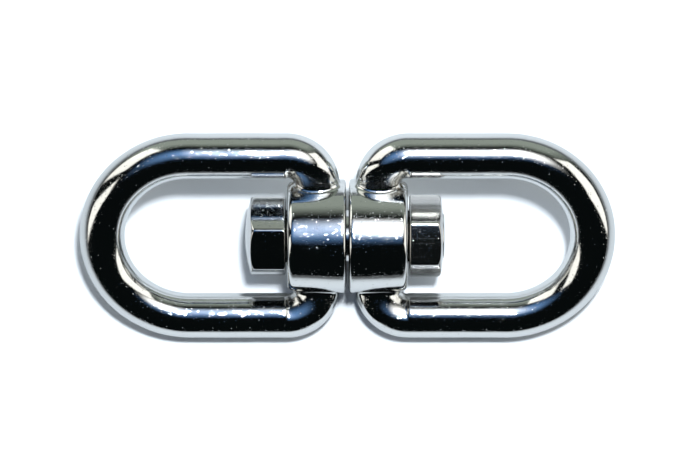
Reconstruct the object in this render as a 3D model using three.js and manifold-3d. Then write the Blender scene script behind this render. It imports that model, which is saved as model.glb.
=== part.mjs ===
// Double-eye swivel for rigging: two cast eyes that turn freely on one shouldered bolt.
//
// Units are millimetres. +X runs along the swivel, from the bolt's head towards its nut, and +Z is up.
// The origin is the middle of the swivel, on the bolt's axis. The swivel lies at rest on a flat
// surface: both hubs touch it, and each eye leans over until the rod on its -Y side touches it too.

import * as THREE from 'three';
import { mergeVertices } from 'three/addons/utils/BufferGeometryUtils.js';
import Module from 'manifold-3d';

const wasm = await Module();
wasm.setup();

// ---- Driving dimensions ------------------------------------------------------------------------

// Eyes
const ROD_DIAMETER = 7.8;          // round bar of the bow
const EYE_INNER_WIDTH = 22.1;      // clear width between the two legs
const CROWN_CENTRE = 27.25;        // from the swivel's middle to the centre of the half-round crown
const BEND_RADIUS = 5.2;           // centre line of the bend between the hub and a leg
const HUB_DIAMETER = 19.7;         // at the face towards the other eye
const HUB_LENGTH = 10.2;
const HUB_TAPER = 0.45;            // how much smaller the hub's radius is at the hexagon's side
const HUB_INNER_EDGE = 0.45;       // rounding of the edge towards the other eye
const HUB_FACE_FLAT = 13;          // diameter of the flat face that looks at the other eye
const HUB_FACE_FALL = 0.2;         // how far that face falls back from there to its rim
const HUB_OUTER_EDGE = 1.0;        // rounding of the edge towards the hexagon

// Bolt and nut
const SHOULDER_DIAMETER = 9;
const THREAD_DIAMETER = 8;
const THREAD_PITCH = 1.25;
const THREAD_DEPTH = 0.68;
const ACROSS_FLATS = 13;
const HEAD_HEIGHT = 6.1;           // up to where the crown starts
const HEAD_CROWN = 0.9;
const NUT_HEIGHT = 5.55;
const NUT_CROWN = 0.45;
const HEX_OUTER_ROUND = 1.3;       // rounding of the corners at the free end
const HEX_INNER_ROUND = 0.4;       // rounding of the corners at the bearing face
const END_ROUND = 0.5;             // rounding of the bolt's peened end
const HEAD_TURN = 7.6;             // degrees from +Z to a corner of the head, towards +Y
const NUT_TURN = 17;               // degrees from +Z to a corner of the nut, towards +Y

// Clearances
const HUB_GAP = 0.3;               // between the two hubs
const HEX_PLAY = 0.25;             // between a hub and the hexagon beside it
const BORE_CLEARANCE = 0.15;       // all round the shoulder in a hub's bore
const THREAD_CLEARANCE = 0.12;     // all round the bolt's thread in the nut
const END_STANDS_OUT = 0.5;        // how far the bolt's end reaches past the nut's corners

// Fineness of the curved faces
const ROUND_STEPS = 48;
const ROD_SIDES = 16;
const BOW_STEPS = 52;
const EDGE_STEPS = 3;
const CROWN_STEPS = 3;
const THREAD_SIDES = 18;
const STATIONS_PER_TURN = 6;

// ---- Sizes that follow from them ---------------------------------------------------------------

const rodRadius = ROD_DIAMETER / 2;
const bowHalfWidth = (EYE_INNER_WIDTH + ROD_DIAMETER) / 2;
const hubRadius = HUB_DIAMETER / 2;
const hubInnerFace = HUB_GAP / 2;
const hubOuterFace = hubInnerFace + HUB_LENGTH;
const hubMiddle = (hubInnerFace + hubOuterFace) / 2;
const shoulderRadius = SHOULDER_DIAMETER / 2;
const boreRadius = (shoulderRadius + BORE_CLEARANCE) / Math.cos(Math.PI / ROUND_STEPS);
const shoulderEnd = hubOuterFace + HEX_PLAY;
const threadRadius = THREAD_DIAMETER / 2;
const hexCornerRadius = ACROSS_FLATS / Math.sqrt(3);
const leanAngle = Math.asin((hubRadius - rodRadius) / bowHalfWidth);

// ---- Solids ------------------------------------------------------------------------------------

/** Turns a closed three.js geometry into a solid that can be joined and cut. */
function solidOf(geometry) {
  const bare = geometry.clone();
  bare.deleteAttribute('normal');
  bare.deleteAttribute('uv');
  const merged = mergeVertices(bare, 1e-5);
  const vertProperties = new Float32Array(merged.attributes.position.array);
  const triVerts = new Uint32Array(merged.index.array);
  return new wasm.Manifold(new wasm.Mesh({ numProp: 3, vertProperties, triVerts }));
}

/** Turns a finished solid back into a three.js geometry with flat facets. */
function geometryOf(solid) {
  const mesh = solid.getMesh();
  const geometry = new THREE.BufferGeometry();
  geometry.setAttribute('position', new THREE.BufferAttribute(new Float32Array(mesh.vertProperties), 3));
  geometry.setIndex(new THREE.BufferAttribute(new Uint32Array(mesh.triVerts), 1));
  geometry.computeVertexNormals();
  return geometry;
}

/** Revolves a profile of [along X, radius] points, which starts and ends on the X axis. */
function turned(profile, steps = ROUND_STEPS) {
  const points = profile.map(([along, radius]) => new THREE.Vector2(radius, along));
  return solidOf(new THREE.LatheGeometry(points, steps).rotateZ(-Math.PI / 2));
}

/** A plain round bar on the X axis between two places. */
function roundBar(start, end, radius, steps = ROUND_STEPS) {
  return turned([[start, 0], [start, radius], [end, radius], [end, 0]], steps);
}

/** Points on a rounded edge about a centre, from one angle to another, as [along X, radius]. */
function roundedEdge(centreAlong, centreRadius, edge, fromAngle, toAngle) {
  const points = [];
  for (let step = 0; step <= EDGE_STEPS; step += 1) {
    const angle = fromAngle + ((toAngle - fromAngle) * step) / EDGE_STEPS;
    points.push([centreAlong + edge * Math.cos(angle), centreRadius + edge * Math.sin(angle)]);
  }
  return points;
}

// ---- Eye ---------------------------------------------------------------------------------------

/** A flat outline in the XY plane, used as a path in space. */
class FlatPath extends THREE.Curve {
  constructor(outline) {
    super();
    this.outline = outline;
  }

  getPoint(t, target = new THREE.Vector3()) {
    const { x, y } = this.outline.getPoint(t);
    return target.set(x, y, 0);
  }
}

/** Centre line of the bow: out of the hub, along one leg, round the crown and back into the hub. */
function bowCentreLine() {
  const quarter = Math.PI / 2;
  const rootAcross = (hubRadius + boreRadius) / 2;
  const bendAlong = hubMiddle + BEND_RADIUS;
  const bendAcross = bowHalfWidth - BEND_RADIUS;
  const outline = new THREE.Path();
  outline.moveTo(hubMiddle, rootAcross);
  outline.absarc(bendAlong, bendAcross, BEND_RADIUS, 2 * quarter, quarter, true);
  outline.absarc(CROWN_CENTRE, 0, bowHalfWidth, quarter, -quarter, true);
  outline.absarc(bendAlong, -bendAcross, BEND_RADIUS, -quarter, -2 * quarter, true);
  outline.lineTo(hubMiddle, -rootAcross);
  return new FlatPath(outline);
}

/** The round bar bent into the bow, with its two ends inside the hub's wall. */
function bow() {
  const corners = [];
  for (let side = 0; side < ROD_SIDES; side += 1) {
    const angle = (2 * Math.PI * side) / ROD_SIDES;
    corners.push(new THREE.Vector2(rodRadius * Math.cos(angle), rodRadius * Math.sin(angle)));
  }
  const options = { steps: BOW_STEPS, bevelEnabled: false, extrudePath: bowCentreLine() };
  return solidOf(new THREE.ExtrudeGeometry(new THREE.Shape(corners), options));
}

/** The barrel that the bolt passes through, before it is bored. */
function hubBlank() {
  const outerRadius = hubRadius - HUB_TAPER;
  const quarter = Math.PI / 2;
  const innerRim = hubInnerFace + HUB_FACE_FALL;
  const inner = [innerRim + HUB_INNER_EDGE, hubRadius - HUB_INNER_EDGE, HUB_INNER_EDGE];
  const outer = [hubOuterFace - HUB_OUTER_EDGE, outerRadius - HUB_OUTER_EDGE, HUB_OUTER_EDGE];
  return turned([
    [hubInnerFace, 0],
    [hubInnerFace, HUB_FACE_FLAT / 2],
    ...roundedEdge(...inner, 2 * quarter, quarter),
    ...roundedEdge(...outer, quarter, 0),
    [hubOuterFace, 0],
  ]);
}

/** One cast eye, flat in the XY plane, with its hub at the origin's +X side. */
function eyeGeometry() {
  const bore = roundBar(hubInnerFace - 1, hubOuterFace + 1, boreRadius);
  return geometryOf(hubBlank().add(bow()).subtract(bore));
}

// ---- Bolt and nut ------------------------------------------------------------------------------

/** A hexagonal bar on the X axis, with one corner turned by an angle from +Z towards +Y. */
function hexBar(start, end, turn) {
  const bar = new THREE.CylinderGeometry(hexCornerRadius, hexCornerRadius, end - start, 6);
  bar.rotateZ(-Math.PI / 2);
  bar.rotateX(-THREE.MathUtils.degToRad(turn));
  bar.translate((start + end) / 2, 0, 0);
  return solidOf(bar);
}

/** A hexagon with rounded corners and a crowned free end, its bearing face at X = 0. */
function crownedHexagon(height, crown, turn) {
  const quarter = Math.PI / 2;
  const blankRadius = hexCornerRadius / Math.cos(Math.PI / ROUND_STEPS);
  const crownRim = blankRadius - HEX_OUTER_ROUND;
  const crownSphere = (crownRim ** 2 + crown ** 2) / (2 * crown);
  const crownPoints = [];
  for (let step = 1; step <= CROWN_STEPS; step += 1) {
    const radius = crownRim * (1 - step / CROWN_STEPS);
    const drop = crownSphere - Math.sqrt(crownSphere ** 2 - radius ** 2);
    crownPoints.push([height + crown - drop, radius]);
  }
  const inner = [HEX_INNER_ROUND, blankRadius - HEX_INNER_ROUND, HEX_INNER_ROUND];
  const outer = [height - HEX_OUTER_ROUND, crownRim, HEX_OUTER_ROUND];
  const blank = turned([
    [0, 0],
    ...roundedEdge(...inner, 2 * quarter, quarter),
    ...roundedEdge(...outer, quarter, 0),
    ...crownPoints,
  ]);
  return blank.intersect(hexBar(-1, height + crown + 1, turn));
}

/** How far the thread stands out at a place in one turn, from 0 at its root to 1 at its crest. */
function threadHeight(turns) {
  const fromCrest = 2 * Math.abs(turns - Math.floor(turns) - 0.5);
  return THREE.MathUtils.clamp(1.25 - 1.5 * fromCrest, 0, 1);
}

/** A bar with the screw thread on it, from a place on the X axis, enlarged all round by a clearance. */
function threadedBar(start, stations, clearance) {
  const length = (stations * THREAD_PITCH) / STATIONS_PER_TURN;
  const bar = new THREE.CylinderGeometry(1, 1, length, THREAD_SIDES, stations);
  bar.rotateZ(-Math.PI / 2);
  bar.translate(length / 2, 0, 0);
  const place = bar.attributes.position;
  const rootRadius = threadRadius - THREAD_DEPTH + clearance;
  for (let index = 0; index < place.count; index += 1) {
    const angle = Math.atan2(place.getY(index), place.getZ(index));
    const turns = (start + place.getX(index)) / THREAD_PITCH + angle / (2 * Math.PI);
    const radius = rootRadius + THREAD_DEPTH * threadHeight(turns);
    place.setY(index, place.getY(index) * radius);
    place.setZ(index, place.getZ(index) * radius);
  }
  bar.translate(start, 0, 0);
  return solidOf(bar);
}

const station = THREAD_PITCH / STATIONS_PER_TURN;
const boltEnd = shoulderEnd + NUT_HEIGHT + END_STANDS_OUT;
const threadStart = shoulderEnd - 2 * station;
const threadStations = Math.ceil((boltEnd - threadStart) / station) + 2;

/** The shouldered bolt: crowned hexagonal head, plain shoulder and threaded end. */
function boltGeometry() {
  const head = crownedHexagon(HEAD_HEIGHT, HEAD_CROWN, -HEAD_TURN)
    .rotate([0, 0, 180])
    .translate([-shoulderEnd, 0, 0]);
  const shoulder = roundBar(-shoulderEnd - 1, shoulderEnd, shoulderRadius);
  const peenedEnd = turned([
    [0, 0],
    [0, threadRadius + END_ROUND],
    [shoulderEnd, threadRadius + END_ROUND],
    ...roundedEdge(boltEnd - END_ROUND, threadRadius - END_ROUND, END_ROUND, Math.PI / 2, 0),
    [boltEnd, 0],
  ]);
  const thread = threadedBar(threadStart, threadStations, 0).intersect(peenedEnd);
  return geometryOf(head.add(shoulder).add(thread));
}

/** The nut, tightened against the bolt's shoulder. */
function nutGeometry() {
  const hexagon = crownedHexagon(NUT_HEIGHT, NUT_CROWN, NUT_TURN).translate([shoulderEnd, 0, 0]);
  return geometryOf(hexagon.subtract(threadedBar(threadStart, threadStations, THREAD_CLEARANCE)));
}

// ---- Materials ---------------------------------------------------------------------------------

/** Stainless casting, polished to a mirror. */
function polishedCasting() {
  return new THREE.MeshStandardMaterial({ color: 0xc6c9cc, roughness: 0.1, metalness: 1 });
}

/** Stainless bar stock, polished after machining. */
function polishedFastener() {
  return new THREE.MeshStandardMaterial({ color: 0xbfc1c2, roughness: 0.14, metalness: 1 });
}

// ---- Assembly ----------------------------------------------------------------------------------

function namedMesh(name, geometry, material) {
  const mesh = new THREE.Mesh(geometry, material);
  mesh.name = name;
  return mesh;
}

const rightEye = namedMesh('right_eye', eyeGeometry(), polishedCasting());
const leftEye = namedMesh('left_eye', eyeGeometry(), polishedCasting());
leftEye.rotation.z = Math.PI;

const eyes = new THREE.Group();
eyes.rotation.x = leanAngle;
eyes.add(leftEye, rightEye);

const fastening = new THREE.Group();
fastening.add(namedMesh('swivel_bolt', boltGeometry(), polishedFastener()));
fastening.add(namedMesh('nut', nutGeometry(), polishedFastener()));

const swivel = new THREE.Group();
swivel.name = 'double_eye_swivel';
swivel.add(eyes, fastening);

export default swivel;
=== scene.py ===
"""Looks of a double-eye rigging swivel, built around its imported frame.

Two polished castings, each a bow with a barrel hub, turn on a shouldered bolt with a crowned
hexagonal head and a crowned nut. All lengths are in metres, in the frame's own axes: +X along the
bolt from its head to its nut, +Z up from the surface that the swivel lies on.
"""

import logging
import math
from dataclasses import dataclass, field
from enum import Enum
from typing import Callable

import bpy
import numpy as np
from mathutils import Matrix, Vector


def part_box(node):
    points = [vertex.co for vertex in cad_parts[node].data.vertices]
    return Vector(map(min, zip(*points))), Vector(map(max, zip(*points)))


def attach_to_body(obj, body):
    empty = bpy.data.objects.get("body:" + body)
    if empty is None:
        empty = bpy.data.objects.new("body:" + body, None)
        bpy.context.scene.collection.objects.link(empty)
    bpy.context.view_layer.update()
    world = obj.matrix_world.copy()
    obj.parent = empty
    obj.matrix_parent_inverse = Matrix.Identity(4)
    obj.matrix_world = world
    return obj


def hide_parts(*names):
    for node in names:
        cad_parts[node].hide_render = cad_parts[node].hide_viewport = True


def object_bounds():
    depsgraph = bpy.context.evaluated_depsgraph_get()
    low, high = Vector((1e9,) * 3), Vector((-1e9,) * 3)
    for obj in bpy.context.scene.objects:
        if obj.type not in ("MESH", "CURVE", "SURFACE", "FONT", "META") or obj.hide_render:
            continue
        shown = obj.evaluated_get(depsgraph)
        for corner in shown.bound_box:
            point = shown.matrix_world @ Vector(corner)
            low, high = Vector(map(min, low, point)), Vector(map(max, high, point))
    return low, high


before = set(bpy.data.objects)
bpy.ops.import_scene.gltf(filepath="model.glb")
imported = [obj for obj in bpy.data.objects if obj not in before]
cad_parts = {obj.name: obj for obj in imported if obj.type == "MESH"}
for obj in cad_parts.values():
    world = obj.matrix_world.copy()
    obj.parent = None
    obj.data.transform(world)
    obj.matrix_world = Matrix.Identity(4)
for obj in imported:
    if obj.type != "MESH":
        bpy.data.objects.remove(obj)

CAD_BOX = [list(corner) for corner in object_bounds()]

log = logging.getLogger("double_eye_swivel")

Points = np.ndarray
Field = Callable[[Points], np.ndarray]


class Side(Enum):
    """The two ends of the swivel, with the sign of their X."""

    HEAD = -1
    NUT = 1


# ---- Shapes given by a distance field ----


def round_joined(first: np.ndarray, second: np.ndarray, fillet: np.ndarray | float) -> np.ndarray:
    """Join two distance fields with a hollow fillet.

    Args:
        first: distances to the first body, negative inside it.
        second: distances to the second body.
        fillet: radius of the fillet between them.

    Returns:
        Distances to the joined body.
    """
    reach = np.hypot(np.maximum(fillet - first, 0), np.maximum(fillet - second, 0))
    return np.maximum(fillet, np.minimum(first, second)) - reach


def round_cut(first: np.ndarray, second: np.ndarray, edge: float) -> np.ndarray:
    """Intersect two distance fields and round the edge where they meet.

    Args:
        first: distances to the first body, negative inside it.
        second: distances to the second body.
        edge: radius of the rounded edge.

    Returns:
        Distances to what is in both bodies.
    """
    reach = np.hypot(np.maximum(first + edge, 0), np.maximum(second + edge, 0))
    return reach + np.minimum(-edge, np.maximum(first, second))


def smooth_step(values: np.ndarray, low: float, high: float) -> np.ndarray:
    """Rise smoothly from 0 at low to 1 at high."""
    share = np.clip((values - low) / (high - low), 0, 1)
    return share * share * (3 - 2 * share)


@dataclass(frozen=True)
class Ripple:
    """Smooth random unevenness in space, the same each time for the same seed."""

    seed: int
    height: float
    wavelength: float
    waves: int = 14

    def at(self, points: Points) -> np.ndarray:
        """Height of the unevenness at each point.

        Args:
            points: where the height is asked for.

        Returns:
            One height for each point, the same on every run.
        """
        draw = np.random.default_rng(self.seed)
        total = np.zeros(len(points))
        for _ in range(self.waves):
            heading = draw.normal(size=3)
            heading /= np.linalg.norm(heading)
            pace = 2 * math.pi / (self.wavelength * draw.uniform(0.7, 1.5))
            total += np.sin(points @ heading * pace + draw.uniform(0, 2 * math.pi))
        return total * self.height / math.sqrt(self.waves)


def gradient(shape: Field, points: Points, reach: float = 2e-6) -> Points:
    """Slope of a distance field at each point, by central differences.

    Args:
        shape: the distance field.
        points: where the slope is taken.
        reach: how far to each side the field is read.

    Returns:
        One slope for each point.
    """
    slope = np.empty_like(points)
    for axis in range(3):
        shift = np.zeros(3)
        shift[axis] = reach
        slope[:, axis] = (shape(points + shift) - shape(points - shift)) / (2 * reach)
    return slope


def settled(shape: Field, points: Points, rounds: int) -> Points:
    """Move points along a distance field's slope, on to its surface.

    Args:
        shape: the distance field.
        points: where the points start, near the surface.
        rounds: how many times they are moved.

    Returns:
        The moved points.
    """
    for _ in range(rounds):
        slope = gradient(shape, points)
        steepness = np.maximum((slope * slope).sum(1), 0.05)
        points = points - slope * (shape(points) / steepness)[:, None]
    return points


def surface_net(shape: Field, low: Points, high: Points, step: float) -> tuple[Points, np.ndarray]:
    """Wrap a closed net of quads round a distance field's surface.

    Args:
        shape: the distance field, negative inside.
        low: lowest corner of the space to search.
        high: highest corner of the space to search.
        step: size of the grid's cells.

    Returns:
        The net's corners, and its quads as rows of four corner numbers, facing outwards.
    """
    counts = np.ceil((high - low) / step).astype(int) + 1
    axes = [low[axis] + step * np.arange(counts[axis]) for axis in range(3)]
    grid = np.stack(np.meshgrid(*axes, indexing="ij"), -1).reshape(-1, 3)
    value = shape(grid).reshape(counts)
    cells = tuple(counts - 1)
    total = np.zeros((*cells, 3))
    hits = np.zeros(cells)
    corner = [(slice(0, n), slice(1, n + 1)) for n in cells]
    for axis in range(3):
        others = [other for other in range(3) if other != axis]
        for first in (0, 1):
            for second in (0, 1):
                pick = [0, 0, 0]
                pick[others[0]], pick[others[1]] = first, second
                pick[axis] = 0
                start = value[tuple(corner[a][pick[a]] for a in range(3))]
                pick[axis] = 1
                end = value[tuple(corner[a][pick[a]] for a in range(3))]
                crossed = (start < 0) != (end < 0)
                share = np.where(crossed, start / np.where(crossed, start - end, 1), 0)
                hits += crossed
                total[..., axis] += share
                total[..., others[0]] += crossed * first
                total[..., others[1]] += crossed * second
    used = hits > 0
    number = np.full(cells, -1)
    number[used] = np.arange(used.sum())
    place = np.argwhere(used) + total[used] / hits[used][:, None]
    corners = low + place * step
    quads = []
    for axis in range(3):
        one, two = (axis + 1) % 3, (axis + 2) % 3
        span = [slice(1, n) for n in cells]
        span[axis] = slice(0, cells[axis])
        start = value[tuple(span)]
        ahead = list(span)
        ahead[axis] = slice(1, cells[axis] + 1)
        end = value[tuple(ahead)]
        for rising in (True, False):
            where = np.argwhere(((start < 0) & (end >= 0)) if rising else ((start >= 0) & (end < 0)))
            where[:, one] += 1
            where[:, two] += 1
            ring = []
            for back_one, back_two in ((1, 1), (0, 1), (0, 0), (1, 0)):
                cell = where.copy()
                cell[:, one] -= back_one
                cell[:, two] -= back_two
                ring.append(number[tuple(cell.T)])
            quads.append(np.stack(ring if rising else ring[::-1], 1))
    return corners, np.concatenate(quads)


def evened(shape: Field, corners: Points, quads: np.ndarray, rounds: int = 6) -> Points:
    """Even out a net's quads along the surface, and keep its corners on the surface.

    Args:
        shape: the distance field that the net wraps.
        corners: the net's corners.
        quads: its quads, as rows of four corner numbers.
        rounds: how many times the corners are evened out.

    Returns:
        The moved corners.
    """
    starts = quads.ravel()
    ends = np.roll(quads, -1, axis=1).ravel()
    share = np.bincount(starts, minlength=len(corners)) + np.bincount(ends, minlength=len(corners))
    for _ in range(rounds):
        total = np.stack([
            np.bincount(starts, corners[ends, axis], len(corners))
            + np.bincount(ends, corners[starts, axis], len(corners))
            for axis in range(3)
        ], 1)
        corners = settled(shape, 0.4 * corners + 0.6 * total / share[:, None], rounds=1)
    return settled(shape, corners, rounds=2)


def mesh_object(name: str, corners: Points, faces: list | np.ndarray) -> bpy.types.Object:
    """Make a smooth-shaded mesh object at the origin.

    Args:
        name: the piece's name.
        corners: its corners.
        faces: its faces, as rows of corner numbers.

    Returns:
        The new object, linked to the scene.
    """
    mesh = bpy.data.meshes.new(name)
    mesh.from_pydata(np.asarray(corners).tolist(), [], [list(map(int, face)) for face in faces])
    mesh.polygons.foreach_set("use_smooth", [True] * len(mesh.polygons))
    mesh.update()
    piece = bpy.data.objects.new(name, mesh)
    bpy.context.scene.collection.objects.link(piece)
    return piece


def store(piece: bpy.types.Object, name: str, values: np.ndarray) -> None:
    """Store a number on each corner of a mesh, for its material or its node tree to read."""
    layer = piece.data.attributes.new(name, "FLOAT", "POINT")
    layer.data.foreach_set("value", np.asarray(values, np.float32))


# ---- Node trees ----


class Wiring:
    """Adds nodes to a tree, and wires each one as it is added."""

    def __init__(self, tree: bpy.types.NodeTree) -> None:
        """Keep the tree that is wired."""
        self.tree = tree

    def node(self, kind: str, inputs: dict | None = None, **settings: object) -> bpy.types.Node:
        """Add a node.

        Args:
            kind: the node's type.
            inputs: value or socket for each input, by name or number.
            settings: values for the node's own settings.

        Returns:
            The new node.
        """
        made = self.tree.nodes.new(kind)
        for name, value in settings.items():
            setattr(made, name, value)
        for key, value in (inputs or {}).items():
            if isinstance(value, bpy.types.NodeSocket):
                self.tree.links.new(value, made.inputs[key])
            else:
                made.inputs[key].default_value = value
        return made

    def math(self, operation: str, *terms: object) -> bpy.types.NodeSocket:
        """Add a Math node on numbers or sockets, and give its result."""
        return self.node("ShaderNodeMath", dict(enumerate(terms)), operation=operation).outputs[0]

    def plus(self, *terms: object) -> bpy.types.NodeSocket:
        """Sum of two terms."""
        return self.math("ADD", *terms)

    def minus(self, *terms: object) -> bpy.types.NodeSocket:
        """The first term less the second."""
        return self.math("SUBTRACT", *terms)

    def times(self, *terms: object) -> bpy.types.NodeSocket:
        """Product of two terms."""
        return self.math("MULTIPLY", *terms)

    def ramp(self, value: object, low: float, high: float, to_low: float, to_high: float) -> object:
        """Map a value from one span to another, smoothly and with limits.

        Args:
            value: the number or socket to map.
            low: where the first span starts.
            high: where it ends.
            to_low: result at and below its start.
            to_high: result at and above its end.

        Returns:
            The result's socket.
        """
        inputs = {"Value": value, "From Min": low, "From Max": high, "To Min": to_low, "To Max": to_high}
        made = self.node("ShaderNodeMapRange", inputs, interpolation_type="SMOOTHSTEP")
        return made.outputs["Result"]


@dataclass
class RuleTree:
    """A geometry node tree with named inputs, which reshapes a turned blank by a rule."""

    name: str
    lengths: tuple[str, ...]
    tree: bpy.types.NodeTree = field(init=False)
    wiring: Wiring = field(init=False)
    start: bpy.types.Node = field(init=False)

    def __post_init__(self) -> None:
        """Make the empty tree and its inputs."""
        self.tree = bpy.data.node_groups.new(self.name, "GeometryNodeTree")
        face = self.tree.interface
        face.new_socket("Geometry", in_out="INPUT", socket_type="NodeSocketGeometry")
        for length in self.lengths:
            face.new_socket(length, in_out="INPUT", socket_type="NodeSocketFloat")
        face.new_socket("Material", in_out="INPUT", socket_type="NodeSocketMaterial")
        face.new_socket("Geometry", in_out="OUTPUT", socket_type="NodeSocketGeometry")
        self.wiring = Wiring(self.tree)
        self.start = self.wiring.node("NodeGroupInput")

    def place(self) -> tuple[object, object, object, object, object]:
        """Read each corner's place.

        Returns:
            Its X, Y and Z, its distance from the axis, and its angle from +Z towards +Y.
        """
        wire = self.wiring
        position = wire.node("GeometryNodeInputPosition").outputs[0]
        along, across, up = wire.node("ShaderNodeSeparateXYZ", {0: position}).outputs
        radius = wire.math("SQRT", wire.plus(wire.times(across, across), wire.times(up, up)))
        return along, across, up, radius, wire.math("ARCTAN2", across, up)

    def finish(self, along: object, across: object, up: object, growth: object) -> None:
        """Move each corner to its new distance from the axis, and end the tree.

        Args:
            along: the corner's X, which stays.
            across: its old Y.
            up: its old Z.
            growth: its new distance from the axis over the old one.
        """
        wire = self.wiring
        place = wire.node("ShaderNodeCombineXYZ", {
            0: along, 1: wire.times(across, growth), 2: wire.times(up, growth),
        })
        moved = wire.node("GeometryNodeSetPosition", {
            "Geometry": self.start.outputs["Geometry"], "Position": place.outputs[0],
        })
        real = wire.node("GeometryNodeRealizeInstances", {0: moved.outputs[0]})
        dressed = wire.node("GeometryNodeSetMaterial", {
            "Geometry": real.outputs[0], "Material": self.start.outputs["Material"],
        })
        wire.node("NodeGroupOutput", {0: dressed.outputs[0]})

    def run(self, piece: bpy.types.Object, material: bpy.types.Material, **lengths: float) -> None:
        """Apply the tree to a mesh and keep the result as a plain mesh.

        Args:
            piece: the object whose mesh is reshaped.
            material: material that the tree sets.
            lengths: value for each named length, with spaces as underscores.
        """
        modifier = piece.modifiers.new(self.name, "NODES")
        modifier.node_group = self.tree
        for socket in self.tree.interface.items_tree:
            key = socket.name.replace(" ", "_")
            if socket.in_out == "INPUT" and key in lengths:
                modifier[socket.identifier] = lengths[key]
            elif socket.in_out == "INPUT" and socket.name == "Material":
                modifier[socket.identifier] = material
        graph = bpy.context.evaluated_depsgraph_get()
        result = bpy.data.meshes.new_from_object(piece.evaluated_get(graph))
        piece.modifiers.remove(modifier)
        old = piece.data
        piece.data = result
        result.name = piece.name
        bpy.data.meshes.remove(old)


def milled_flats() -> RuleTree:
    """Cut six slightly crowned flats on a turned blank, with rounded corners.

    Returns:
        The node tree.
    """
    rule = RuleTree("milled_flats", (
        "Across Flats", "Turn", "Corner Round", "Rim Blend", "Bearing", "Edge Round", "Flat Crown",
    ))
    wire = rule.wiring
    sizes = rule.start.outputs
    along, across, up, radius, angle = rule.place()
    sixth = math.pi / 3
    sixths = wire.math("DIVIDE", wire.minus(angle, sizes["Turn"]), sixth)
    part = wire.minus(wire.math("FRACT", sixths), 0.5)
    off_flat = wire.times(wire.math("ABSOLUTE", part), sixth)
    off_face = wire.math("ABSOLUTE", wire.minus(along, sizes["Bearing"]))
    short = wire.math("MAXIMUM", wire.minus(sizes["Edge Round"], off_face), 0.0)
    squares = [wire.times(term, term) for term in (sizes["Edge Round"], short)]
    curve = wire.math("SQRT", wire.math("MAXIMUM", wire.minus(*squares), 0.0))
    inset = wire.minus(sizes["Edge Round"], curve)
    middle = wire.minus(wire.times(sizes["Across Flats"], 0.5), inset)
    half = wire.minus(middle, sizes["Flat Crown"])
    off_middle = wire.math("DIVIDE", off_flat, sixth / 2)
    fall = wire.times(wire.times(off_middle, off_middle), sizes["Flat Crown"])
    flat = wire.math("DIVIDE", wire.minus(middle, fall), wire.math("COSINE", off_flat))
    off_corner = wire.minus(sixth / 2, off_flat)
    room = wire.minus(half, sizes["Corner Round"])
    centre = wire.math("DIVIDE", room, math.cos(sixth / 2))
    sideways = wire.times(centre, wire.math("SINE", off_corner))
    squares = [wire.times(term, term) for term in (sizes["Corner Round"], sideways)]
    rise = wire.math("SQRT", wire.math("MAXIMUM", wire.minus(*squares), 0.0))
    corner = wire.plus(wire.times(centre, wire.math("COSINE", off_corner)), rise)
    arc_end = wire.times(sizes["Corner Round"], math.sin(sixth / 2))
    on_corner = wire.math("LESS_THAN", sideways, arc_end)
    change = wire.times(on_corner, wire.minus(corner, flat))
    hexagon = wire.plus(flat, change)
    cut = wire.math("SMOOTH_MIN", radius, hexagon, sizes["Rim Blend"])
    rule.finish(along, across, up, wire.math("DIVIDE", cut, wire.math("MAXIMUM", radius, 1e-7)))
    return rule


def screw_thread() -> RuleTree:
    """Cut a right-hand thread where a turned blank is marked as threaded.

    Returns:
        The node tree.
    """
    rule = RuleTree("screw_thread", ("Pitch", "Depth"))
    wire = rule.wiring
    sizes = rule.start.outputs
    along, across, up, radius, angle = rule.place()
    steps = wire.math("DIVIDE", along, sizes["Pitch"])
    turns = wire.plus(steps, wire.math("DIVIDE", angle, 2 * math.pi))
    off_crest = wire.math("ABSOLUTE", wire.minus(wire.math("FRACT", turns), 0.5))
    groove = wire.ramp(off_crest, 0.08, 0.44, 0.0, 1.0)
    marked = wire.node("GeometryNodeInputNamedAttribute", {"Name": "threaded"}, data_type="FLOAT").outputs[0]
    cut = wire.times(wire.times(groove, marked), sizes["Depth"])
    left = wire.minus(radius, cut)
    rule.finish(along, across, up, wire.math("DIVIDE", left, wire.math("MAXIMUM", radius, 1e-7)))
    return rule


# ---- Finishes ----


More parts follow.
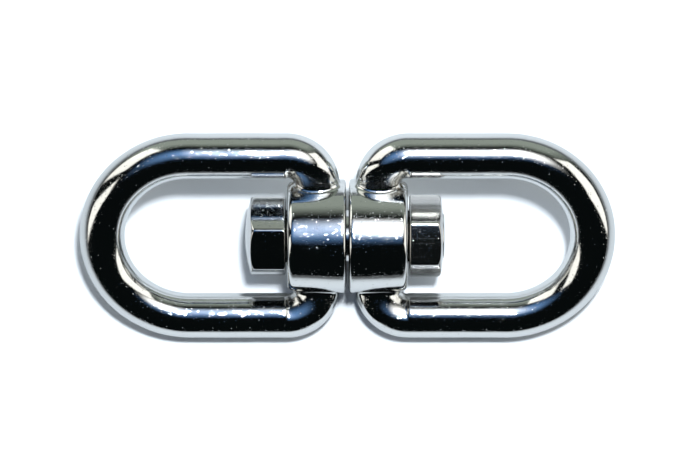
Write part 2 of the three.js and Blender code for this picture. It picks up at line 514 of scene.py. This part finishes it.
@dataclass(frozen=True)
class PolishedSteel:
    """Mirror-polished stainless steel with the small faults that hand polishing leaves."""

    name: str
    colour: tuple[float, float, float] = (0.66, 0.67, 0.66)
    glancing_colour: tuple[float, float, float, float] = (0.78, 0.79, 0.80, 1)
    roughness: float = 0.042
    worn_roughness: float = 0.03
    cloud: float = 0.007
    grain: float = 0.00027
    grain_height: float = 3.6e-6
    speck: float = 0.00040
    speck_height: float = 3.6e-5
    brush_height: float = 1.6e-6
    wave: float = 0.0032
    wave_height: float = 1.6e-5
    scratch_height: float = 2.5e-6
    scratch_roughness: float = 0.10
    pit: float = 1 / 650
    pit_height: float = 1.5e-5
    pebble: float = 0.00055
    pebble_height: float = 1.3e-4
    skin_colour: tuple[float, float, float] = (0.10, 0.08, 0.045)
    skin_roughness: float = 0.28
    marks: tuple[float, ...] = ()
    mark_span: tuple[float, float] = (0.0109, 0.0149)

    def material(self) -> bpy.types.Material:
        """Build the material.

        Returns:
            A material that reads Object coordinates and the corner attribute "cast_skin".
        """
        made = bpy.data.materials.new(self.name)
        made.use_nodes = True
        tree = made.node_tree
        tree.nodes.clear()
        wire = Wiring(tree)
        place = wire.node("ShaderNodeTexCoord").outputs["Object"]
        skin = wire.node("ShaderNodeAttribute", attribute_name="cast_skin").outputs["Fac"]
        grain = self.noise(wire, place, self.grain, 3)
        wave = self.noise(wire, place, self.wave, 2)
        brush = self.brushing(wire, place)
        clouds = self.noise(wire, place, self.cloud, 3)
        pebbles = self.noise(wire, place, self.pebble, 3)
        scratches = self.scratches(wire, place)
        if self.marks:
            scratches = wire.math("MAXIMUM", scratches, self.spanner_marks(wire, place))
        pits = self.pits(wire, place)
        worn = wire.ramp(clouds, 0.42, 0.68, 0.0, self.worn_roughness)
        scuffed = wire.times(scratches, self.scratch_roughness)
        rough = wire.plus(wire.plus(worn, self.roughness), scuffed)
        rough = wire.plus(rough, wire.times(skin, self.skin_roughness))
        bump = self.bump(wire, wave, self.wave_height, None)
        bump = self.bump(wire, grain, self.grain_height, bump)
        bump = self.bump(wire, brush, self.brush_height, bump)
        bump = self.bump(wire, self.specks(wire, place), -self.speck_height, bump)
        bump = self.bump(wire, scratches, -self.scratch_height, bump)
        bump = self.bump(wire, pits, -self.pit_height, bump)
        bump = self.bump(wire, wire.times(pebbles, skin), self.pebble_height, bump)
        stain = wire.times(skin, wire.ramp(pebbles, 0.44, 0.56, 1.0, 0.05))
        tint = self.mixed(wire, stain)
        shader = wire.node("ShaderNodeBsdfPrincipled", {
            "Base Color": tint, "Metallic": 1.0, "Roughness": rough, "Normal": bump,
            "Specular Tint": self.glancing_colour,
        })
        wire.node("ShaderNodeOutputMaterial", {"Surface": shader.outputs[0]})
        return made

    def mixed(self, wire: Wiring, stain: object) -> object:
        """Colour of the steel, stained by the given share where the casting's skin is left."""
        mix = wire.node("ShaderNodeMix", data_type="RGBA")
        wire.tree.links.new(stain, mix.inputs[0])
        mix.inputs[6].default_value = (*self.colour, 1)
        mix.inputs[7].default_value = (*self.skin_colour, 1)
        return mix.outputs[2]

    def noise(self, wire: Wiring, place: object, size: float, detail: float) -> object:
        """Noise whose blotches are about the given size across."""
        inputs = {"Vector": place, "Scale": 1 / size, "Detail": detail, "Roughness": 0.5}
        return wire.node("ShaderNodeTexNoise", inputs).outputs[0]

    def specks(self, wire: Wiring, place: object) -> object:
        """Tiny round dimples of many depths, which catch the light, from 0 to 1."""
        cells = wire.node("ShaderNodeTexVoronoi", {"Vector": place, "Scale": 1 / self.speck})
        depth = wire.node("ShaderNodeSeparateColor", {0: cells.outputs["Color"]}).outputs[0]
        round_dip = wire.ramp(cells.outputs["Distance"], 0.0, 0.32, 1.0, 0.0)
        return wire.times(round_dip, wire.math("POWER", depth, 3.0))

    def brushing(self, wire: Wiring, place: object) -> object:
        """Fine polishing lines that run round the bar and the hub."""
        drawn = wire.node("ShaderNodeMapping", {"Vector": place, "Scale": (5200, 260, 260)})
        return self.noise(wire, drawn.outputs[0], 1.0, 2.0)

    def scratches(self, wire: Wiring, place: object) -> object:
        """Fine straight scratches in two directions, as a mask from 0 to 1."""
        masks = []
        for turn, stretch in ((0.35, (900, 9000, 9000)), (-1.1, (700, 11000, 11000))):
            bent = wire.node("ShaderNodeMapping", {
                "Vector": place, "Rotation": (0.4 * turn, 0.2, turn), "Scale": stretch,
            })
            streaks = self.noise(wire, bent.outputs[0], 1.0, 1.0)
            masks.append(wire.ramp(streaks, 0.66, 0.76, 0.0, 1.0))
        return wire.math("MAXIMUM", *masks)

    def spanner_marks(self, wire: Wiring, place: object) -> object:
        """Broken lines that a spanner's jaw has left along the bolt's direction, from 0 to 1."""
        along, across, _ = wire.node("ShaderNodeSeparateXYZ", {0: place}).outputs
        breaks = wire.ramp(self.noise(wire, place, 0.0003, 2), 0.40, 0.52, 0.0, 1.0)
        total = 0.0
        for mark in self.marks:
            off = wire.math("ABSOLUTE", wire.minus(across, mark))
            line = wire.ramp(off, 0.00003, 0.00009, 1.0, 0.0)
            total = wire.plus(total, wire.times(line, breaks))
        inside = wire.times(wire.math("GREATER_THAN", along, self.mark_span[0]),
                           wire.math("LESS_THAN", along, self.mark_span[1]))
        return wire.times(total, inside)

    def pits(self, wire: Wiring, place: object) -> object:
        """Small scattered pits, as a mask from 0 to 1."""
        cells = wire.node("ShaderNodeTexVoronoi", {"Vector": place, "Scale": 1 / self.pit})
        dots = wire.ramp(cells.outputs["Distance"], 0.06, 0.13, 1.0, 0.0)
        some = wire.ramp(self.noise(wire, place, 0.004, 1), 0.58, 0.62, 0.0, 1.0)
        return wire.times(dots, some)

    def bump(self, wire: Wiring, height: object, distance: float, under: object | None) -> object:
        """Add a bump.

        Args:
            wire: the material's wiring.
            height: socket with the pattern, from 0 to 1.
            distance: how high the pattern stands, or how deep it is cut where negative.
            under: normal of the bump under this one, or None for the first.

        Returns:
            The new normal's socket.
        """
        inputs = {"Height": height, "Distance": abs(distance), "Strength": 1.0}
        if under is not None:
            inputs["Normal"] = under
        return wire.node("ShaderNodeBump", inputs, invert=distance < 0).outputs[0]


# ---- Cast eyes ----


@dataclass
class CastEye:
    """One casting: a bow of round bar that ends in a barrel hub, leaning on its lower leg."""

    side: Side
    node: str
    seed: int
    bar_radius: float = 0.0039
    half_width: float = 0.01495
    bend_radius: float = 0.0052
    hub_radius: float = 0.00985
    hub_length: float = 0.0102
    hub_taper: float = 0.00045
    bore_radius: float = 0.00465
    bore_edge: float = 0.0003
    inner_edge: float = 0.00045
    face_flat: float = 0.0065
    face_fall: float = 0.0002
    outer_edge: float = 0.0010
    inner_fillet: float = 0.0006
    outer_fillet: float = 0.0012
    foot_thickness: float = 0.0025
    surface_inset: float = 2.4e-5
    skin_span: tuple[float, float] = (0.0010, 0.0026)
    lower_skin: float = 0.35
    net_step: float = 0.0003
    net_margin: float = 3.2

    def __post_init__(self) -> None:
        """Take the eye's place from its node in the frame."""
        low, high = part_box(self.node)
        near, far = sorted((abs(low.x), abs(high.x)))
        self.inner_face = near
        self.outer_face = near + self.hub_length
        self.middle = near + self.hub_length / 2
        self.crown_centre = round(far - self.half_width - self.bar_radius, 5)
        self.lean = math.asin((self.hub_radius - self.bar_radius) / self.half_width)
        self.wobble = Ripple(self.seed, 9e-6, 0.006)
        self.lumps = Ripple(self.seed + 1, 2.6e-5, 0.0009, 24)
        self.ragged_edge = Ripple(self.seed + 2, 4e-4, 0.002)

    def bow_distance(self, along: np.ndarray, across: np.ndarray, up: np.ndarray) -> np.ndarray:
        """Distance from the surface of the bent bar, which is thinner where it meets the hub.

        Args:
            along: distances outwards from the swivel's middle.
            across: distances sideways in the bow's plane.
            up: distances from the bow's plane.

        Returns:
            Distances from the bar, negative inside it.
        """
        across = np.abs(across)
        bend_along = self.middle + self.bend_radius
        bend_across = self.half_width - self.bend_radius
        root = (self.hub_radius + self.bore_radius) / 2
        stem = np.hypot(along - self.middle, across - np.clip(across, root, bend_across))
        in_bend = (along <= bend_along) & (across >= bend_across)
        bend = np.abs(np.hypot(along - bend_along, across - bend_across) - self.bend_radius)
        leg = np.hypot(along - np.clip(along, bend_along, self.crown_centre), across - self.half_width)
        crown = np.abs(np.hypot(along - self.crown_centre, across) - self.half_width)
        line = np.minimum(stem, leg)
        line = np.minimum(line, np.where(in_bend, bend, 1.0))
        line = np.minimum(line, np.where(along >= self.crown_centre, crown, 1.0))
        near_foot = 1 - smooth_step(across, self.hub_radius - self.bar_radius / 2, self.half_width)
        near_foot = near_foot * (along < self.middle + self.bend_radius)
        squeeze = 1 + near_foot * (self.bar_radius / self.foot_thickness - 1)
        return (np.hypot(line, up * squeeze) - self.bar_radius) / np.sqrt(squeeze)

    def hub_distance(self, along: np.ndarray, radius: np.ndarray) -> np.ndarray:
        """Distance from the surface of the tapered barrel hub.

        Args:
            along: distances outwards from the swivel's middle.
            radius: distances from the bolt's axis.

        Returns:
            Distances from the hub, negative inside it.
        """
        fall = self.hub_taper / self.hub_length
        side = (radius - self.hub_radius + fall * (along - self.inner_face)) / math.hypot(1, fall)
        outer = round_cut(side, along - self.outer_face, self.outer_edge)
        past_flat = np.maximum(radius - self.face_flat, 0) / (self.hub_radius - self.face_flat)
        face = self.inner_face + self.face_fall * past_flat ** 2
        return round_cut(outer, face - along, self.inner_edge)

    def skin_share(self, points: Points) -> np.ndarray:
        """Share of the casting's rough skin that is left, round the corners between stem and hub.

        Args:
            points: places in the eye's own flat frame.

        Returns:
            From 0, where all is polished, to 1 at each place.
        """
        most = np.where(points[:, 1] * self.side.value > 0, 1.0, self.lower_skin)
        along, across, up = points[:, 0], np.abs(points[:, 1]), points[:, 2]
        corner_along = self.outer_face - 0.0007
        corner_across = self.hub_radius + 0.0002
        off = np.hypot(along - corner_along, across - corner_across)
        off = np.hypot(off, 0.55 * up) + self.ragged_edge.at(points)
        return most * (1 - smooth_step(off, *self.skin_span))

    def distance(self, points: Points) -> np.ndarray:
        """Distance from the surface of the whole eye.

        Args:
            points: places in the eye's own flat frame, with +X outwards.

        Returns:
            Distances from the eye, negative inside it.
        """
        along, across, up = points[:, 0], points[:, 1], points[:, 2]
        radius = np.hypot(across, up)
        outwards = smooth_step(along, self.middle, self.outer_face)
        fillet = self.inner_fillet + (self.outer_fillet - self.inner_fillet) * outwards
        body = round_joined(self.bow_distance(along, across, up), self.hub_distance(along, radius), fillet)
        body = body + self.surface_inset + self.wobble.at(points)
        body = body + self.lumps.at(points) * self.skin_share(points)
        beyond = np.abs(along - self.middle) - self.hub_length
        return round_cut(body, np.minimum(self.bore_radius - radius, -beyond), self.bore_edge)

    def build(self, finish: bpy.types.Material) -> bpy.types.Object:
        """Build the casting, lean it over and turn it to its end of the bolt.

        Args:
            finish: the casting's material.

        Returns:
            The finished piece.
        """
        margin = self.net_margin * self.net_step
        reach = self.crown_centre + self.half_width + self.bar_radius + margin
        width = self.half_width + self.bar_radius + margin
        height = self.hub_radius + margin
        low = np.array([self.inner_face - margin, -width, -height])
        corners, quads = surface_net(self.distance, low, np.array([reach, width, height]), self.net_step)
        corners = evened(self.distance, corners, quads)
        skin = self.skin_share(corners)
        flip = self.side.value
        cosine, sine = math.cos(self.lean), math.sin(self.lean)
        flat = corners * np.array([flip, flip, 1])
        leaned = np.stack([
            flat[:, 0],
            flat[:, 1] * cosine - flat[:, 2] * sine,
            flat[:, 1] * sine + flat[:, 2] * cosine,
        ], 1)
        piece = mesh_object(f"{self.node}_casting", leaned, quads)
        store(piece, "cast_skin", skin)
        piece.data.materials.append(finish)
        return piece


# ---- Bolt and nut ----


@dataclass
class TurnedBlank:
    """A round blank: rings along X, with a mark on each ring that the thread is cut on."""

    rings: list[tuple[float, float, float]] = field(default_factory=list)

    def line(self, end: tuple[float, float], steps: int, threaded: float = 0.0) -> "TurnedBlank":
        """Add rings on a straight line from the last ring.

        Args:
            end: X and distance from the axis of the line's end.
            steps: how many rings are added.
            threaded: 1 where the thread is cut, and 0 elsewhere.

        Returns:
            The same blank.
        """
        along, radius, _ = self.rings[-1]
        for step in range(1, steps + 1):
            share = step / steps
            self.rings.append((
                along + (end[0] - along) * share, radius + (end[1] - radius) * share, threaded,
            ))
        return self

    def arc(self, centre: tuple[float, float], radius: float, turn: tuple[float, float],
            steps: int) -> "TurnedBlank":
        """Add rings on an arc.

        Args:
            centre: X and distance from the axis of the arc's centre.
            radius: the arc's radius.
            turn: its first and last angle from +X, in quarter turns.
            steps: how many parts it has.

        Returns:
            The same blank.
        """
        for step in range(steps + 1):
            angle = (turn[0] + (turn[1] - turn[0]) * step / steps) * math.pi / 2
            self.rings.append((
                centre[0] + radius * math.cos(angle), centre[1] + radius * math.sin(angle), 0.0,
            ))
        return self

    def mirrored(self) -> "TurnedBlank":
        """Turn the blank end for end about X = 0, with its rings still from -X to +X."""
        return TurnedBlank([(-along, radius, mark) for along, radius, mark in reversed(self.rings)])

    def build(self, name: str, columns: int, turn: float, ring_shaped: bool) -> bpy.types.Object:
        """Build the blank's mesh.

        Args:
            name: the piece's name.
            columns: how many corners each ring has.
            turn: angle from +Z towards +Y of the first corner.
            ring_shaped: True where the profile closes on itself, False where it ends on the axis.

        Returns:
            The blank, with the corner attribute "threaded".
        """
        profile = np.array(self.rings)
        keep = np.ones(len(profile), bool)
        keep[1:] = np.hypot(*np.diff(profile[:, :2], axis=0).T) > 1e-8
        profile = profile[keep]
        angles = turn + 2 * math.pi * np.arange(columns) / columns
        body = profile if ring_shaped else profile[1:-1]
        corners = np.stack([
            np.repeat(body[:, 0], columns),
            np.outer(body[:, 1], np.sin(angles)).ravel(),
            np.outer(body[:, 1], np.cos(angles)).ravel(),
        ], 1)
        marks = np.repeat(body[:, 2], columns)
        faces = []
        count = len(body)
        for ring in range(count if ring_shaped else count - 1):
            after = (ring + 1) % count
            for column in range(columns):
                side = (column + 1) % columns
                faces.append((
                    ring * columns + column, after * columns + column,
                    after * columns + side, ring * columns + side,
                ))
        if not ring_shaped:
            first, last = len(corners), len(corners) + 1
            corners = np.vstack([corners, [profile[0, 0], 0, 0], [profile[-1, 0], 0, 0]])
            marks = np.append(marks, [0, 0])
            top = (count - 1) * columns
            for column in range(columns):
                side = (column + 1) % columns
                faces.append((first, column, side))
                faces.append((top + column, last, top + side))
        piece = mesh_object(name, corners, faces)
        store(piece, "threaded", marks)
        return piece


@dataclass(frozen=True)
class HexagonSizes:
    """Sizes of one crowned hexagon, measured from its bearing face."""

    height: float
    crown: float
    turn: float
    across_flats: float = 0.013
    outer_round: float = 0.0015
    inner_round: float = 0.0006
    edge_round: float = 0.00038
    flat_crown: float = 0.00015
    corner_round: float = 0.0006
    rim_blend: float = 0.0003

    @property
    def corner_radius(self) -> float:
        """Distance from the axis to the hexagon's sharp corners."""
        return self.across_flats / math.sqrt(3)

    def outside(self, bearing: float, bearing_radius: float) -> TurnedBlank:
        """Start a blank whose crown points to +X.

        Args:
            bearing: X of its bearing face.
            bearing_radius: smallest radius of that face.

        Returns:
            The blank, from its bearing face to the rim of its crown.
        """
        corner = self.corner_radius
        blank = TurnedBlank([(bearing, bearing_radius, 0.0)])
        blank.line((bearing, corner - self.inner_round), 4)
        blank.arc((bearing + self.inner_round, corner - self.inner_round), self.inner_round, (2, 1), 8)
        body_end = bearing + self.height - self.outer_round
        blank.line((body_end, corner), 12)
        return blank.arc((body_end, corner - self.outer_round), self.outer_round, (1, 0.12), 18)

    def crown_to(self, blank: TurnedBlank, bearing: float, end_radius: float, steps: int) -> TurnedBlank:
        """Add the crowned free end.

        Args:
            blank: the blank, as far as the rim of its crown.
            bearing: X of its bearing face.
            end_radius: radius at which the crown ends.
            steps: how many rings are added.

        Returns:
            The same blank.
        """
        rim_along, rim, _ = blank.rings[-1]
        drop_rim = self.crown - (rim_along - bearing - self.height)
        sphere = (rim ** 2 + drop_rim ** 2) / (2 * drop_rim)
        top = bearing + self.height + self.crown
        for step in range(1, steps + 1):
            radius = rim + (end_radius - rim) * step / steps
            blank.rings.append((top - sphere + math.sqrt(sphere ** 2 - radius ** 2), radius, 0.0))
        return blank


@dataclass
class BoltAndNut:
    """The shouldered bolt through both hubs, and the nut that is tightened on its shoulder."""

    shoulder_radius: float = 0.0045
    thread_radius: float = 0.0040
    pitch: float = 0.00125
    thread_depth: float = 0.00068
    thread_clearance: float = 0.00012
    end_round: float = 0.0005
    run_out: float = 0.0006
    shoulder_corner: float = 0.0002
    mouth: float = 0.0003
    rings_per_turn: int = 14
    columns: int = 480
    head: HexagonSizes = HexagonSizes(0.0061, 0.0009, math.radians(7.6))
    nut: HexagonSizes = HexagonSizes(0.00555, 0.00045, math.radians(17))

    def __post_init__(self) -> None:
        """Take the places of the bearing faces and of the bolt's end from the frame."""
        self.shoulder_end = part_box("nut")[0].x
        self.bolt_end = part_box("swivel_bolt")[1].x
        self.flats = milled_flats()
        self.thread = screw_thread()

    def dressed(self, piece: bpy.types.Object, hexagon: HexagonSizes, bearing: float,
                finish: bpy.types.Material) -> bpy.types.Object:
        """Cut the flats and the thread on a blank, and give it its finish.

        Args:
            piece: the blank.
            hexagon: sizes of its flats.
            bearing: X of the hexagon's bearing face.
            finish: its material.

        Returns:
            The same object, with its new mesh.
        """
        self.flats.run(
            piece, finish, Across_Flats=hexagon.across_flats, Turn=hexagon.turn, Bearing=bearing,
            Corner_Round=hexagon.corner_round, Rim_Blend=hexagon.rim_blend, Edge_Round=hexagon.edge_round,
            Flat_Crown=hexagon.flat_crown,
        )
        self.thread.run(piece, finish, Pitch=self.pitch, Depth=self.thread_depth)
        return piece

    def build_bolt(self, finish: bpy.types.Material) -> bpy.types.Object:
        """Build the bolt: crowned head, plain shoulder, thread and peened end.

        Args:
            finish: the bolt's material.

        Returns:
            The finished piece.
        """
        reach = self.shoulder_end
        corner = self.shoulder_corner
        outside = self.head.outside(reach, self.shoulder_radius + corner)
        blank = self.head.crown_to(outside, reach, 0.0, 14).mirrored()
        blank.arc((-reach + corner, self.shoulder_radius + corner), corner, (2, 3), 4)
        blank.line((reach - corner, self.shoulder_radius), 6)
        blank.line((reach, self.shoulder_radius - corner), 2)
        blank.line((reach, self.thread_radius), 1)
        thread_end = self.bolt_end - self.end_round
        steps = math.ceil((thread_end - reach - self.run_out) / self.pitch * self.rings_per_turn)
        blank.line((reach + 0.0001, self.thread_radius), 1)
        blank.line((reach + self.run_out, self.thread_radius), 3, 1.0)
        blank.line((thread_end, self.thread_radius), steps, 1.0)
        inner = self.thread_radius - self.end_round
        blank.arc((thread_end, inner), self.end_round, (1, 0), 8)
        blank.line((self.bolt_end, 0.0), 5)
        piece = blank.build("swivel_bolt_turned", self.columns, self.head.turn, False)
        return self.dressed(piece, self.head, -reach, finish)

    def build_nut(self, finish: bpy.types.Material) -> bpy.types.Object:
        """Build the nut: crowned hexagon with a threaded hole.

        Args:
            finish: the nut's material.

        Returns:
            The finished piece.
        """
        face = self.shoulder_end
        hole = self.thread_radius + self.thread_clearance
        mouth_radius = hole + self.mouth
        blank = self.nut.crown_to(self.nut.outside(face, mouth_radius), face, mouth_radius, 10)
        top = blank.rings[-1][0]
        blank.line((top - self.mouth, hole), 2)
        steps = math.ceil((top - face) / self.pitch * self.rings_per_turn)
        blank.line((face + self.mouth, hole), steps, 1.0)
        blank.line((face, mouth_radius), 2)
        blank.rings.pop()
        piece = blank.build("crowned_nut", self.columns, self.nut.turn, True)
        return self.dressed(piece, self.nut, face, finish)


# ---- Studio ----


@dataclass(frozen=True)
class SoftPanel:
    """A rectangular light over the table, which faces down and fades towards its edges."""

    name: str
    centre: tuple[float, float, float]
    size: tuple[float, float]
    brightness: float
    colour: tuple[float, float, float] = (1.0, 1.0, 1.0)
    fade: float = 0.3

    def build(self) -> None:
        """Build the light, unseen by the camera."""
        light = bpy.data.lights.new(self.name, "AREA")
        light.shape = "RECTANGLE"
        light.size, light.size_y = self.size
        light.energy = math.pi * self.size[0] * self.size[1] * self.brightness
        light.color = self.colour
        light.use_nodes = True
        wire = Wiring(light.node_tree)
        where = wire.node("ShaderNodeNewGeometry").outputs["Parametric"]
        shares = wire.node("ShaderNodeSeparateXYZ", {0: where}).outputs
        edges = []
        for share in (shares[0], shares[1]):
            inside = wire.minus(0.5, wire.math("ABSOLUTE", wire.minus(share, 0.5)))
            edges.append(wire.ramp(inside, 0.0, self.fade, 0.0, 1.0))
        emission = light.node_tree.nodes["Emission"]
        light.node_tree.links.new(wire.times(*edges), emission.inputs["Strength"])
        lamp = bpy.data.objects.new(self.name, light)
        lamp.location = self.centre
        lamp.visible_camera = False
        bpy.context.scene.collection.objects.link(lamp)


@dataclass(frozen=True)
class KeyLight:
    """A small round light, far enough away for crisp shadows."""

    lean: tuple[float, float] = (math.radians(5), math.radians(11.5))
    distance: float = 1.3
    spread: float = math.radians(6)
    light_on_table: float = 3.7
    colour: tuple[float, float, float] = (0.96, 0.99, 1.0)

    def build(self) -> None:
        """Build the light, turned towards the swivel."""
        light = bpy.data.lights.new("key", "AREA")
        light.shape = "DISK"
        light.size = 2 * self.distance * math.tan(self.spread / 2)
        radiance = self.light_on_table / (math.pi * math.sin(self.spread / 2) ** 2)
        light.energy = math.pi * math.pi * (light.size / 2) ** 2 * radiance
        light.color = self.colour
        lamp = bpy.data.objects.new("key", light)
        heading = Vector((math.tan(self.lean[0]), math.tan(self.lean[1]), 1)).normalized()
        lamp.location = heading * self.distance
        lamp.rotation_euler = heading.to_track_quat("Z", "Y").to_euler()
        lamp.visible_camera = False
        bpy.context.scene.collection.objects.link(lamp)


@dataclass(frozen=True)
class RoomPatch:
    """A pale part of the room, which the swivel reflects, with its angles in degrees.

    Its bearing is measured from +X towards +Y, its low and high ends from the horizon up, and its
    slope is how much its low end rises for each degree of bearing.
    """

    bearing: float
    half_width: float
    low: float
    high: float
    brightness: float
    colour: tuple[float, float, float]
    blur: float = 5.0
    slope: float = 0.0
    low_blur: float = 2.0


@dataclass
class Studio:
    """Plain pale table, soft lights, surroundings and the camera above."""

    table_size: float = 6.0
    table_colour: tuple[float, float, float, float] = (0.83, 0.88, 0.94, 1)
    # painted light: distances from the swivel, and the share of the table's colour left at each, for a
    # painted pool of light that fades to near black
    painted_pool_reach: tuple[float, float] = (0.04, 0.15)
    painted_pool_share: tuple[float, float] = (0.80, 0.12)
    camera_height: float = 1.0
    view_width: float = 0.1204
    view_shift: tuple[float, float] = (0.00043, 0.00043)
    key: KeyLight = KeyLight()
    panels: tuple[SoftPanel, ...] = (
        SoftPanel("softbox", (0.066, 0.066, 0.20), (0.25, 0.19), 2.8, (1.0, 0.985, 0.95), 0.49),
        SoftPanel("halo", (-0.02, 0.052, 0.26), (0.42, 0.30), 0.70, (0.27, 0.56, 1.12), 0.49),
    )
    patches: tuple[RoomPatch, ...] = (
        RoomPatch(8, 30, 8, 42, 1.6, (1.0, 0.98, 0.92), 5, 0.22),
        RoomPatch(141, 21, 8, 44, 1.5, (1.0, 0.98, 0.92), 5, -0.3),
        RoomPatch(194, 12, 5, 46, 1.5, (1.0, 0.98, 0.92), 5, -0.3),
        RoomPatch(90, 46, -2, 38, 0.40, (0.91, 1.03, 0.90), 30),
    )

    def build(self) -> None:
        """Build the table, the lights, the surroundings and the camera."""
        self.build_table()
        self.key.build()
        for panel in self.panels:
            panel.build()
        self.build_room()
        self.build_camera()
        bpy.context.scene.view_settings.view_transform = "Standard"

    def build_table(self) -> None:
        """Build the table top just under the swivel, with a painted pool of light round the swivel for every
        ray but the camera's.
        """
        half = self.table_size / 2
        level = CAD_BOX[0][2]
        corners = [(-half, -half, level), (half, -half, level), (half, half, level), (-half, half, level)]
        table = mesh_object("table", np.array(corners), [(0, 1, 2, 3)])
        made = bpy.data.materials.new("pale_table")
        made.use_nodes = True
        wire = Wiring(made.node_tree)
        place = wire.node("ShaderNodeTexCoord").outputs["Object"]
        reach = wire.node("ShaderNodeVectorMath", {0: place}, operation="LENGTH").outputs["Value"]
        # painted light: for every ray but the camera's, the table's colour fades towards near black, from
        # 80% near the swivel to 12% far off. This is a painted pool of light that the steel reflects; the
        # camera sees the table evenly pale
        ray = wire.node("ShaderNodeLightPath").outputs["Is Camera Ray"]
        near = wire.math("MAXIMUM", ray, wire.ramp(reach, *self.painted_pool_reach, *self.painted_pool_share))
        mix = wire.node("ShaderNodeMix", {0: near}, data_type="RGBA")
        mix.inputs[6].default_value = (0.02, 0.02, 0.02, 1)
        mix.inputs[7].default_value = self.table_colour
        shader = made.node_tree.nodes["Principled BSDF"]
        made.node_tree.links.new(mix.outputs[2], shader.inputs["Base Color"])
        shader.inputs["Roughness"].default_value = 0.8
        shader.inputs["Specular IOR Level"].default_value = 0.1
        table.data.materials.append(made)

    def build_room(self) -> None:
        """Build the dark room and its pale parts, and a pale backdrop for the camera."""
        world = bpy.data.worlds.new("studio_room")
        bpy.context.scene.world = world
        world.use_nodes = True
        tree = world.node_tree
        tree.nodes.clear()
        wire = Wiring(tree)
        heading = wire.node("ShaderNodeTexCoord").outputs["Generated"]
        across, ahead, up = wire.node("ShaderNodeSeparateXYZ", {0: heading}).outputs
        bearing = wire.math("DEGREES", wire.math("ARCTAN2", ahead, across))
        height = wire.math("DEGREES", wire.math("ARCSINE", up))
        dark = wire.node("ShaderNodeBackground", {"Color": (0.5, 0.75, 0.8, 1), "Strength": 0.006})
        light = dark.outputs[0]
        for patch in self.patches:
            turn = wire.minus(bearing, patch.bearing)
            turn = wire.math("WRAP", turn, 180.0, -180.0)
            half_blur = patch.blur / 2
            off = wire.math("ABSOLUTE", turn)
            wide = wire.ramp(off, patch.half_width - half_blur, patch.half_width + half_blur, 1.0, 0.0)
            raised = wire.minus(height, wire.times(turn, patch.slope))
            rise = wire.ramp(raised, patch.low - patch.low_blur, patch.low + patch.low_blur, 0.0, 1.0)
            fall = wire.ramp(height, patch.high - half_blur, patch.high + half_blur, 1.0, 0.0)
            tall = wire.times(rise, fall)
            level = wire.times(wire.times(wide, tall), patch.brightness)
            glow = wire.node("ShaderNodeBackground", {"Color": (*patch.colour, 1), "Strength": level})
            light = wire.node("ShaderNodeAddShader", {0: light, 1: glow.outputs[0]}).outputs[0]
        seen = wire.node("ShaderNodeBackground", {"Color": (0.92, 0.93, 0.94, 1), "Strength": 1.0})
        ray = wire.node("ShaderNodeLightPath").outputs["Is Camera Ray"]
        mix = wire.node("ShaderNodeMixShader", {0: ray, 1: light, 2: seen.outputs[0]})
        wire.node("ShaderNodeOutputWorld", {"Surface": mix.outputs[0]})

    def build_camera(self) -> None:
        """Build the camera, straight above the swivel."""
        lens = bpy.data.cameras.new("camera")
        lens.sensor_width = 36.0
        lens.lens = lens.sensor_width * self.camera_height / self.view_width
        lens.clip_start = 0.01
        camera = bpy.data.objects.new("camera", lens)
        camera.location = (*self.view_shift, self.camera_height)
        bpy.context.scene.collection.objects.link(camera)
        bpy.context.scene.camera = camera


# ---- Assembly ----


def attach(piece: bpy.types.Object, node: str, body: str) -> None:
    """Let a piece stand for its node and ride on its body.

    Args:
        piece: the finished piece.
        node: the node that it stands for.
        body: the body that it rides on.
    """
    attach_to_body(piece, body)
    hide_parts(node)
    log.info("%s: %d corners, rides on %s", piece.name, len(piece.data.vertices), body)


def main() -> None:
    """Build the swivel's pieces and the studio around them."""
    logging.basicConfig(level=logging.INFO, format="%(name)s %(message)s")
    casting = PolishedSteel("eye_casting").material()
    head = PolishedSteel("bolt_steel", colour=(0.62, 0.62, 0.61), roughness=0.045).material()
    nut = PolishedSteel(
        "nut_steel", colour=(0.60, 0.59, 0.57), roughness=0.11, grain_height=1.0e-5,
        pit_height=3.0e-5, marks=(-0.00045, -0.00126),
    ).material()
    attach(CastEye(Side.HEAD, "left_eye", 11).build(casting), "left_eye", "left_eye")
    attach(CastEye(Side.NUT, "right_eye", 23).build(casting), "right_eye", "right_eye")
    fastening = BoltAndNut()
    attach(fastening.build_bolt(head), "swivel_bolt", "bolt_and_nut")
    attach(fastening.build_nut(nut), "nut", "bolt_and_nut")
    Studio().build()


if __name__ == "__main__":
    main()
